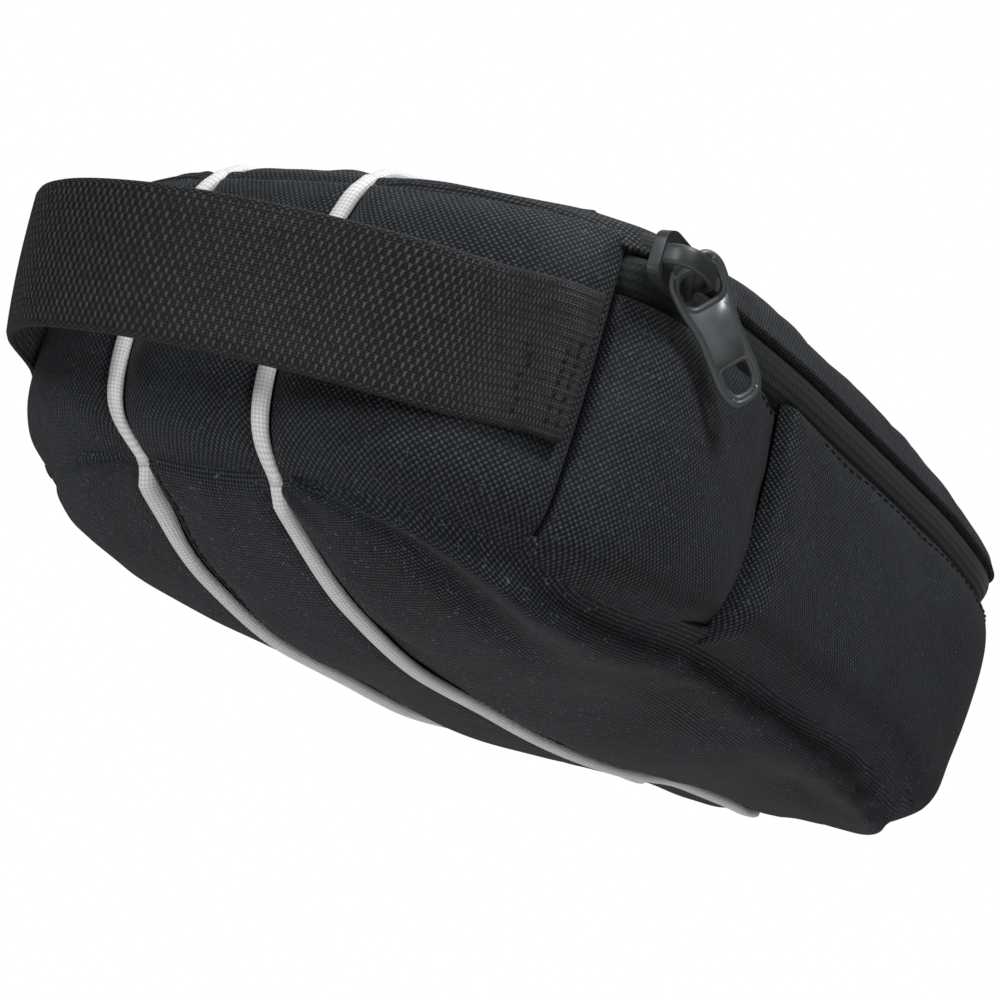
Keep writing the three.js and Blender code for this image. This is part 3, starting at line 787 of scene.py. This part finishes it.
class BAG_OT_shell(bpy.types.Operator):
    """Builds the puffed fabric panels of the pouch and the lid"""
    bl_idname = "bag.shell"
    bl_label = "Shell Panels"

    def execute(self, context):
        edge = BAND_HALF - 0.7
        start = BAND_HALF + 0.7
        nose, tail = station(edge), station(edge, True)
        for top, word in ((False, "lower_face"), (True, "upper_face")):
            SHELL[f"{word}_centre"] = face_panel(
                f"{word}_centre_cloth", nose, tail, lambda s: -edge, lambda s: edge, top, 2 * edge, 56, 8,
                puff=1.2, seed=3.0 + top, groove=0.55)
            first, last = station(start + 0.8), station(start + 0.8, True)
            for side, side_word in SIDES:
                folds = lower_folds(first, last) if side == LEFT and not top else None
                SHELL[f"{word}_{side_word}"] = face_panel(
                    f"{word}_{side_word}_cloth", first, last, lambda s, k=side: k * start,
                    lambda s, k=side: k * (half_width(s) - 0.2), top, 42.0, 56, 13, puff=0.7 if top else 1.5,
                    seed=5.0 + side + top, crease=folds)
        slot = 0.7
        SHELL["front_wall_centre"] = wall_panel(
            "front_wall_centre_cloth", -BAND_D + slot, BAND_D - slot, low_line, high_line, 10, 18,
            puff=1.8, seed=11.0)
        for side, word in SIDES:
            k = -side
            SHELL[f"front_wall_{word}"] = wall_panel(
                f"front_wall_{word}_cloth", k * (BAND_D + slot), k * (SEAM_D - 0.1), low_line, high_line,
                14, 16, puff=2.0, seed=14.0 + side)
            SHELL[f"side_wall_{word}"] = wall_panel(
                f"side_wall_{word}_cloth", k * (SEAM_D + 0.1), k * (PLEAT_D + 4), low_line, fold_line, 16, 14,
                lift=lambda d: -3.2 * math.exp(-(max(PLEAT_D - d, 0) / 7.0) ** 1.5),
                puff=1.8, seed=17.0 + side)
        SHELL["rear_wall"] = wall_panel(
            "rear_wall_cloth", PLEAT_D, ROUND - PLEAT_D, low_line, fold_line, 84, 14,
            lift=lambda d: 0.2 + 1.4 * math.exp(-min(d - PLEAT_D, ROUND - PLEAT_D - d) / 8.0),
            puff=1.7, seed=23.0)
        for piece in SHELL.values():
            thicken(piece, sizes().cloth, 2)
        self.settle_all()
        return {"FINISHED"}

    def settle_all(self):
        for key, piece in SHELL.items():
            if key.startswith("upper_face"):
                word = key.removeprefix("upper_face_")
                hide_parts(f"upper_front_{word}", f"lid_face_{word}")
                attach(piece, "lid")
                self.fold(piece)
            else:
                settle(piece, "pouch", "shell", key)

    def fold(self, piece):
        piece.parent = None
        piece.matrix_world = Matrix.Identity(4)
        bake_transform(piece)


class BAG_OT_pipings(bpy.types.Operator):
    """Builds the white pipings beside the middle band"""
    bl_idname = "bag.pipings"
    bl_label = "Pipings"

    def execute(self, context):
        radius = sizes().piping / MM
        first, last = station(BAND_HALF) + 0.6, station(BAND_HALF, True) - 0.6
        foot, top = along(LOW_SEAM, first) - 0.2, along(HIGH_SEAM, first) + 0.2
        for side, word in SIDES:
            y = side * BAND_HALF
            routes = {
                "lower": [Vector((NOSE_X + s, y, belly(s, y) - self.proud(s - first, last - s)))
                          for s in self.steps(first, last)],
                "upper": [Vector((NOSE_X + s, y, crown(s, y) + self.proud(s - first, last - s)))
                          for s in self.steps(first, last)],
                "front": [wall(-side * BAND_D, z, self.proud(z - along(LOW_SEAM, first), 63 - z))
                          for z in self.steps(foot, top, 16)],
            }
            for key, route in routes.items():
                across = (lambda t: Vector((-1, 0, 0))) if key == "front" else None
                steps = 40 if key == "front" else 110
                piece = sweep(f"piping_{key}_{word}_cord", along_points(route, across),
                              self.flattened(radius), steps, "piping")
                if key == "upper":
                    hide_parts(f"piping_upper_front_{word}", f"piping_lid_{word}")
                    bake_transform(piece)
                else:
                    settle(piece, "pouch", "piping", f"piping_{key}_{word}")
        return {"FINISHED"}

    def proud(self, *ends):
        """How far the cord stands out of its seam, less at its own ends."""
        return 1.0 - 1.9 * math.exp(-max(min(ends), 0) / 1.6)

    def flattened(self, radius, sides=14):
        """Section of the cord, a little wider than it is high."""
        return [(1.22 * radius * a, 0.88 * radius * b) for a, b in circle(1.0, sides)]

    def steps(self, first, last, count=60):
        return [mix(first, last, i / count) for i in range(count + 1)]


class BAG_OT_zip(bpy.types.Operator):
    """Builds the zip tapes and the coil between them"""
    bl_idname = "bag.zip"
    bl_label = "Zip"

    def execute(self, context):
        start = SEAM_D - 1.2
        # Height below the high seam and distance outwards, across each tape.
        lower = ((-11.6, -3.4), (-10.2, -2.4), (-9.2, -1.3), (-7.4, -0.3), (-5.8, 0.4), (-4.2, 0.5),
                 (-3.7, 0.1), (-3.55, -1.1))
        upper = ((-3.05, -1.1), (-2.9, 0.1), (-2.4, 0.5), (-1.4, 0.5), (-0.2, 0.3), (0.7, -0.8), (0.9, -2.4))
        for word, profile, body in (("lower", lower, "pouch"), ("upper", upper, "lid")):
            piece = self.strip(f"zip_tape_{word}_cloth", start, profile)
            settle(piece, body, "zip_tape", f"zip_tape_{word}")
        for word, drop, body in (("lower", -3.65, "pouch"), ("upper", -2.95, "lid")):
            route = [wall(d, along(HIGH_SEAM, outline(d)[0].x - NOSE_X) + drop, -1.1)
                     for d in self.distances(start, 200)]
            piece = sweep(f"zip_coil_{word}_chain", along_points(route), circle(0.55, 6), 700, "tape")
            for vert in piece.data.vertices:
                vert.co.z += 0.00016 * math.sin(vert.index % 701 * 1.9)
            settle(piece, body, "zip_coil", f"zip_coil_{word}")
        return {"FINISHED"}

    def distances(self, start, count):
        return [mix(start, ROUND - start, i / count) for i in range(count + 1)]

    def strip(self, name, start, profile):
        rows = len(profile) - 1
        bm, cells = grid(220, rows, ROUND - 2 * start, 7.0)
        for vert, (i, j) in cells.items():
            distance = mix(start, ROUND - start, i / 220)
            drop, out = profile[j]
            high = along(HIGH_SEAM, outline(distance)[0].x - NOSE_X)
            # The tape's end is pulled down behind the folded edge of the front wall.
            end = math.exp(-min(distance - start, ROUND - start - distance) / 3.0)
            puff = 0.7 * math.sin(math.pi * clamp(min(distance - start, ROUND - start - distance) / 9.0))
            vert.co = wall(distance, high + drop, out + puff - 1.6 * end) * MM
        bm.normal_update()
        face_out(bm, HEART)
        return thicken(new_object(name, bm, "tape"), 0.0006, 1)


# The pull is drawn a little smaller than its solid.
PULL_SCALE = 0.93


def pull_place():
    """Matrix that lays the pull's own frame (along, across, outwards) on the slider, in metres."""
    hinge = next(joint for joint in frame["joints"] if joint["name"] == "pull_flip")
    run = Vector((0.76, -0.2, -0.6)).normalized()
    out = Vector((-0.5, -0.82, -0.2))
    across = out.cross(run).normalized()
    turn = axes(run, across, run.cross(across))
    return Matrix.Translation(Vector(hinge["pos_m"])) @ turn @ Matrix.Scale(PULL_SCALE, 4)


def plate(bm, contours, thickness, lift):
    """A flat plate with holes in its own frame, in millimetres."""
    edges = []
    for contour in contours:
        verts = [bm.verts.new((x, y, lift)) for x, y in contour]
        edges += [bm.edges.new((verts[k - 1], verts[k])) for k in range(len(verts))]
    filled = bmesh.ops.triangle_fill(bm, edges=edges, use_beauty=True, use_dissolve=False)
    faces = [g for g in filled["geom"] if isinstance(g, bmesh.types.BMFace)]
    grown = bmesh.ops.extrude_face_region(bm, geom=faces)
    verts = [g for g in grown["geom"] if isinstance(g, bmesh.types.BMVert)]
    bmesh.ops.translate(bm, verts=verts, vec=(0, 0, thickness))


def rim(bm, contour, radius, lift, sides=8):
    """A round bead along a closed contour."""
    count = len(contour)
    section = circle(radius, sides)
    made = bmesh.ops.create_grid(bm, x_segments=count, y_segments=sides, size=0.5)["verts"]
    for vert in made:
        k, m = round((vert.co.x + 0.5) * count) % count, round((vert.co.y + 0.5) * sides) % sides
        run = (Vector(contour[(k + 1) % count]) - Vector(contour[k - 1])).normalized()
        (x, y), (a, b) = contour[k], section[m]
        vert.co = (x + run.y * a, y - run.x * a, lift + b)
    bmesh.ops.remove_doubles(bm, verts=made, dist=1e-6)


def rounded(points, radius, steps=5):
    """A closed contour with its corners rounded."""
    contour = []
    count = len(points)
    for k in range(count):
        corner = Vector(points[k])
        before = Vector(points[k - 1]) - corner
        after = Vector(points[(k + 1) % count]) - corner
        reach = min(radius, before.length * 0.49, after.length * 0.49)
        a = corner + before.normalized() * reach
        b = corner + after.normalized() * reach
        for m in range(steps + 1):
            t = m / steps
            contour.append(tuple(a.lerp(corner, t).lerp(corner.lerp(b, t), t)))
    return contour


class BAG_OT_slider(bpy.types.Operator):
    """Builds the zip slider, its bridge and the pull"""
    bl_idname = "bag.slider"
    bl_label = "Slider and Pull"

    def execute(self, context):
        low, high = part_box("zip_slider")
        middle = (low + high) / 2
        self.body(middle)
        self.bridge()
        self.pull()
        return {"FINISHED"}

    def body(self, middle):
        bm = bmesh.new()
        outer = rounded([(-5.6, -2.8), (-3.6, -4.1), (4.4, -3.6), (5.6, -2.2),
                         (5.6, 2.2), (4.4, 3.6), (-3.6, 4.1), (-5.6, 2.8)], 2.2)
        plate(bm, [outer], 1.9, -1.4)
        turn = axes(Vector((1, 0.035, 0)), Vector((0, 0, -1)), Vector((0.035, -1, 0)))
        seat = Vector((middle.x, middle.y + 0.0004, middle.z))
        place = Matrix.Translation(seat) @ turn @ Matrix.Scale(MM, 4)
        bmesh.ops.transform(bm, matrix=place, verts=bm.verts)
        bmesh.ops.recalc_face_normals(bm, faces=bm.faces)
        piece = new_object("slider_body_cast", bm, "metal", False, False)
        self.soften(piece, 0.0004)
        settle(piece, "slider", "slider_metal", "zip_slider")

    def bridge(self):
        low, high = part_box("slider_bridge")
        middle = (low + high) / 2
        rise = [(-4.6, -0.8), (-4.3, 1.4), (-3.0, 3.0), (-0.6, 3.5),
                (1.8, 3.3), (3.8, 2.5), (4.8, 1.0), (5.0, -0.8)]
        points = [Vector((middle.x / MM + x, high.y / MM - z, middle.z / MM)) for x, z in rise]
        section = [(1.55 * math.copysign(abs(math.cos(a)) ** 0.6, math.cos(a)),
                    0.6 * math.copysign(abs(math.sin(a)) ** 0.7, math.sin(a)))
                   for a in (2 * math.pi * k / 20 for k in range(20))]
        piece = sweep("slider_bridge_cast", along_points(points, lambda t: Vector((0, 0, 1))),
                      [(b, a) for a, b in section], 48, "metal", False)
        settle(piece, "slider", "slider_metal", "slider_bridge")

    def pull(self):
        bm = bmesh.new()
        outer = rounded([(-1.2, -3.2), (1.2, -4.9), (6.0, -4.7), (10.5, -3.7), (20.6, -3.8), (24.0, -2.4),
                         (24.0, 2.4), (20.6, 3.8), (10.5, 3.7), (6.0, 4.7), (1.2, 4.9), (-1.2, 3.2)], 2.6)
        eye = rounded([(0.9, -2.6), (2.4, -3.7), (5.4, -3.6), (6.6, -2.4),
                       (6.6, 2.4), (5.4, 3.6), (2.4, 3.7), (0.9, 2.6)], 0.9)
        finger = rounded([(17.2, -2.5), (20.4, -2.6), (22.5, -1.4),
                          (22.5, 1.4), (20.4, 2.6), (17.2, 2.5)], 0.9)
        plate(bm, [outer, eye, finger], 0.9, -0.45)
        rim(bm, self.inset(outer, 0.5), 0.66, 0.0)
        rim(bm, self.inset(eye, -0.25), 0.6, 0.0)
        rim(bm, self.inset(finger, -0.2), 0.55, 0.0)
        bmesh.ops.recalc_face_normals(bm, faces=bm.faces)
        bmesh.ops.transform(bm, matrix=pull_place() @ Matrix.Scale(MM, 4), verts=bm.verts)
        bmesh.ops.recalc_face_normals(bm, faces=bm.faces)
        piece = new_object("zip_pull_cast", bm, "metal", True, False)
        settle(piece, "pull", "slider_metal", "zip_pull")

    def inset(self, contour, amount):
        count = len(contour)
        moved = []
        for k, (x, y) in enumerate(contour):
            run = (Vector(contour[(k + 1) % count]) - Vector(contour[k - 1])).normalized()
            moved.append((x - run.y * amount, y + run.x * amount))
        return moved

    def soften(self, piece, width):
        bevel = piece.modifiers.new("soft_edges", "BEVEL")
        bevel.width = width
        bevel.segments = 3
        bevel.limit_method = "ANGLE"


class BAG_OT_loop(bpy.types.Operator):
    """Builds the webbing loop at the nose"""
    bl_idname = "bag.loop"
    bl_label = "Seat-post Loop"

    def execute(self, context):
        low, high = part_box("seat_post_loop")
        low_z, high_z = low.z / MM - 0.6, high.z / MM + 1.6
        middle = (low_z + high_z) / 2
        # Each station gives the plan place of the lower edge and how far the upper edge leans out from it.
        sewn = [wall(SEAM_D - back, middle, 2.6) for back in (2.2, 7.0)]
        far = [wall(7.0 - SEAM_D, middle, 2.6), wall(1.5 - SEAM_D, middle, 2.4)]
        free = [(3.5, -43.5, 3.0), (-5.5, -31.5, 5.0), (-12.5, -16.0, 6.5), (-17.0, 3.0, 6.5),
                (-16.5, 21.5, 5.0), (-8.0, 36.5, 2.5)]
        route = sewn + [Vector((NOSE_X + x, y, middle)) for x, y, _ in free] + far
        leans = [0.4, 1.4] + [lean for _, _, lean in free] + [0.8, 0.4]

        def path(t):
            point = spline(route, t)
            run = (spline(route, min(t + 0.004, 1)) - spline(route, max(t - 0.004, 0))).normalized()
            out = Vector((-run.y, run.x, 0)).normalized()
            if out.dot(Vector((point.x, point.y, 0))) < 0:
                out.negate()
            lean = spline([Vector((value, 0)) for value in leans], t).x
            rise = (Vector((0, 0, high_z - low_z)) + out * lean).normalized()
            sag = -1.0 * math.sin(math.pi * t) ** 2
            return point + out * lean / 2 + Vector((0, 0, sag)), rise, rise.cross(run).normalized()
        piece = sweep("seat_post_loop_webbing", path, strap_section(high_z - low_z, sizes().webbing / MM),
                      150, "webbing")
        settle(piece, "pouch", "webbing", "seat_post_loop")
        SHELL["loop"] = piece
        rows = []
        for k in (1, -1):
            for inwards, wave in ((3.4, 0.0), (4.7, 0.0), (8.8, 0.5)):
                rows.append([wall(k * (SEAM_D - inwards - wave * math.sin(z)), middle + z, 3.4)
                             for z in (-9.4, -7, -4.5, -2, 0, 2, 4.5, 7, 9.4)])
        thread = stitches("loop_bartack_threads", rows, [piece], "pouch", 1.6)
        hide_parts("loop_bartack_left", "loop_bartack_right")
        return {"FINISHED"}


class BAG_OT_straps(bpy.types.Operator):
    """Builds the patch and the two folded rail straps on the saddle side"""
    bl_idname = "bag.straps"
    bl_label = "Rail Straps"

    def execute(self, context):
        low, high = (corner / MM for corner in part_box("rail_strap_patch"))
        middle = (low + high) / 2
        length, width = high.x - low.x, high.y - low.y

        def over(x, y, lift):
            return Vector((x, y, max(crown(x - NOSE_X, y) + 1.0, low.z - 2.2) + lift))
        bm, cells = grid(36, 28, length, width)
        for vert, (i, j) in cells.items():
            ring = min(i, j, 36 - i, 28 - j)
            x, y = mix(low.x, high.x, i / 36), mix(low.y, high.y, j / 28)
            vert.co = over(x, y, (-1.4, -0.2)[ring] if ring < 2 else 0.4) * MM
        bm.normal_update()
        face_out(bm, HEART)
        patch = thicken(new_object("rail_strap_patch_cloth", bm, "shell"), 0.0008, 1)
        settle(patch, "lid", "shell", "rail_strap_patch")
        for side, word in SIDES:
            self.strap(word, -side, over)
        return {"FINISHED"}

    def strap(self, word, out, over):
        """out is +1 where the fold is on the right, as on the left strap."""
        low, high = (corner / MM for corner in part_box(f"rail_strap_{word}"))
        x = (low.x + high.x) / 2
        y_root, y_fold = (low.y, high.y) if out > 0 else (high.y, low.y)
        section = strap_section(high.x - low.x, 1.1)
        base = [over(x, mix(y_root, y_fold, t / 8), 1.4) for t in range(9)]
        leg = sweep(f"rail_strap_{word}_webbing", along_points(base), section, 40, "webbing")
        settle(leg, "lid", "webbing", f"rail_strap_{word}")
        flap_low, flap_high = (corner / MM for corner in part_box(f"strap_flap_{word}"))
        y_tip = flap_low.y if out > 0 else flap_high.y
        height = over(x, y_fold, 1.4).z
        turn = [Vector((x, y_fold + out * 1.5 * math.sin(a), height + 1.0 - math.cos(a)))
                for a in (0.3, 0.8, 1.57, 2.3, 2.9)]
        back = [over(x, mix(y_fold, y_tip, t / 8), 3.1) for t in range(1, 9)]
        flap = sweep(f"strap_flap_{word}_webbing", along_points(turn + back), section, 60, "webbing")
        settle(flap, f"flap_{word}", "webbing", f"strap_flap_{word}")
        hooks = [over(x, mix(y_fold, y_tip, t / 8), 2.35) for t in range(2, 8)]
        tape = sweep(f"strap_hooks_{word}", along_points(hooks), strap_section(16, 0.5), 30, "hooks")
        settle(tape, f"flap_{word}", "webbing")


def loft_tub(name, inset, thickness, rim_z, material):
    """An open tub that follows the pouch at an inset."""
    columns, rows = 120, 26
    bm, cells = grid(columns, rows, 500.0, 60.0)
    for vert, (i, j) in cells.items():
        point, _ = outline(i / columns * ROUND)
        s = clamp(point.x - NOSE_X, inset + 0.6, LENGTH - inset - 0.6)
        width = half_width(s, inset)
        y = clamp(point.y, -width, width)
        t = j / rows
        if t < 0.5:
            low = belly(s, math.copysign(min(abs(y) + inset, half_width(s)), y)) + inset
            vert.co = Vector((NOSE_X + s, y, mix(rim_z, low, t / 0.5))) * MM
        else:
            pull_in = (t - 0.5) / 0.5
            sx, sy = mix(s, LENGTH / 2, pull_in), mix(y, 0.0, pull_in)
            width_here = half_width(sx)
            low = belly(sx, math.copysign(min(abs(sy) + inset, width_here), sy)) + inset
            vert.co = Vector((NOSE_X + sx, sy, low)) * MM
    bmesh.ops.remove_doubles(bm, verts=bm.verts, dist=1e-5)
    bmesh.ops.recalc_face_normals(bm, faces=bm.faces)
    piece = new_object(name, bm, material)
    return thicken(piece, thickness * MM, 1, 0.0)


class BAG_OT_inside(bpy.types.Operator):
    """Builds the pouch's padding and lining, and finishes the lid's foam, board and lining"""
    bl_idname = "bag.inside"
    bl_label = "Inside"

    def execute(self, context):
        rim_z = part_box("pouch_lining")[1].z / MM
        lining = loft_tub("pouch_lining_cloth", 7.4, 0.6, rim_z, "lining")
        settle(lining, "pouch", "lining", "pouch_lining")
        foam = loft_tub("pouch_foam_sheet", 3.6, 2.4, rim_z, "foam")
        settle(foam, "pouch", "foam", "pouch_foam")
        for name, material in (("lid_foam", "foam"), ("lid_board", "board"), ("lid_lining", "lining")):
            solid = frame["nodes"][name]
            solid.data.materials.clear()
            solid.data.materials.append(MATERIALS[material])
        return {"FINISHED"}


class BAG_OT_stitching(bpy.types.Operator):
    """Sews the visible rows of topstitching"""
    bl_idname = "bag.stitching"
    bl_label = "Topstitching"

    def execute(self, context):
        beside = BAND_HALF - 2.6
        first, last = station(beside) + 1.5, station(beside, True) - 1.5
        for word, surface, body in (("lower", belly, "pouch"), ("upper", crown, "lid")):
            start = first if word == "lower" else 22
            rows = []
            for y in (-beside, beside):
                rows.append([Vector((NOSE_X + s, y, surface(s, y)))
                             for s in (mix(start, last, i / 40) for i in range(41))])
            stitches(f"stitches_{word}_band", rows, [SHELL[f"{word}_face_centre"]], body)
        rows = []
        for side, _ in SIDES:
            d = -side * (BAND_D - 2.6)
            rows.append([wall(d, z) for z in range(20, 61, 5)])
        stitches("stitches_front_band", rows, [SHELL["front_wall_centre"]], "pouch")
        for side, word in SIDES:
            k = -side
            rows = [[wall(k * (SEAM_D + 2.2), z) for z in range(15, 54, 4)]]
            stitches(f"stitches_side_{word}", rows, [SHELL[f"side_wall_{word}"]], "pouch")
            rows = [[wall(k * (PLEAT_D + 2.2), z, 1.0) for z in range(19, 54, 4)]]
            s_line = [mix(PLEAT_D + 3, ROUND - PLEAT_D - 3, i / 60) for i in range(61)]
            if side == LEFT:
                rows.append([wall(d, fold_line(outline(d)[0].x - NOSE_X) - 1.8, 1.0) for d in s_line])
            stitches(f"stitches_rear_{word}", rows, [SHELL["rear_wall"]], "pouch")
            d_line = [k * mix(SEAM_D + 2.5, PLEAT_D - 1, i / 12) for i in range(13)]
            rows = [[wall(d, fold_line(outline(d)[0].x - NOSE_X) - 1.8) for d in d_line]]
            stitches(f"stitches_fold_{word}", rows, [SHELL[f"side_wall_{word}"]], "pouch")
        return {"FINISHED"}


class BAG_PT_panel(bpy.types.Panel):
    """Lists the builder's steps in the sidebar"""
    bl_idname = "BAG_PT_panel"
    bl_label = "Saddle Bag"
    bl_space_type = "VIEW_3D"
    bl_region_type = "UI"
    bl_category = "Saddle Bag"

    def draw(self, context):
        for operator in OPERATORS:
            self.layout.operator(operator.bl_idname)


OPERATORS = (
    BAG_OT_stage, BAG_OT_shell, BAG_OT_pipings, BAG_OT_zip, BAG_OT_slider,
    BAG_OT_loop, BAG_OT_straps, BAG_OT_inside, BAG_OT_stitching,
)
CLASSES = (BagSizes, BagColours) + OPERATORS + (BAG_PT_panel,)


def register():
    for cls in CLASSES:
        bpy.utils.register_class(cls)
    bpy.types.Scene.bag_sizes = bpy.props.PointerProperty(type=BagSizes)
    bpy.types.Scene.bag_colours = bpy.props.PointerProperty(type=BagColours)


def unregister():
    del bpy.types.Scene.bag_colours
    del bpy.types.Scene.bag_sizes
    for cls in reversed(CLASSES):
        bpy.utils.unregister_class(cls)


def main():
    register()
    make_materials()
    for operator in OPERATORS:
        group, name = operator.bl_idname.split(".")
        getattr(getattr(bpy.ops, group), name)()


if __name__ == "__main__":
    main()
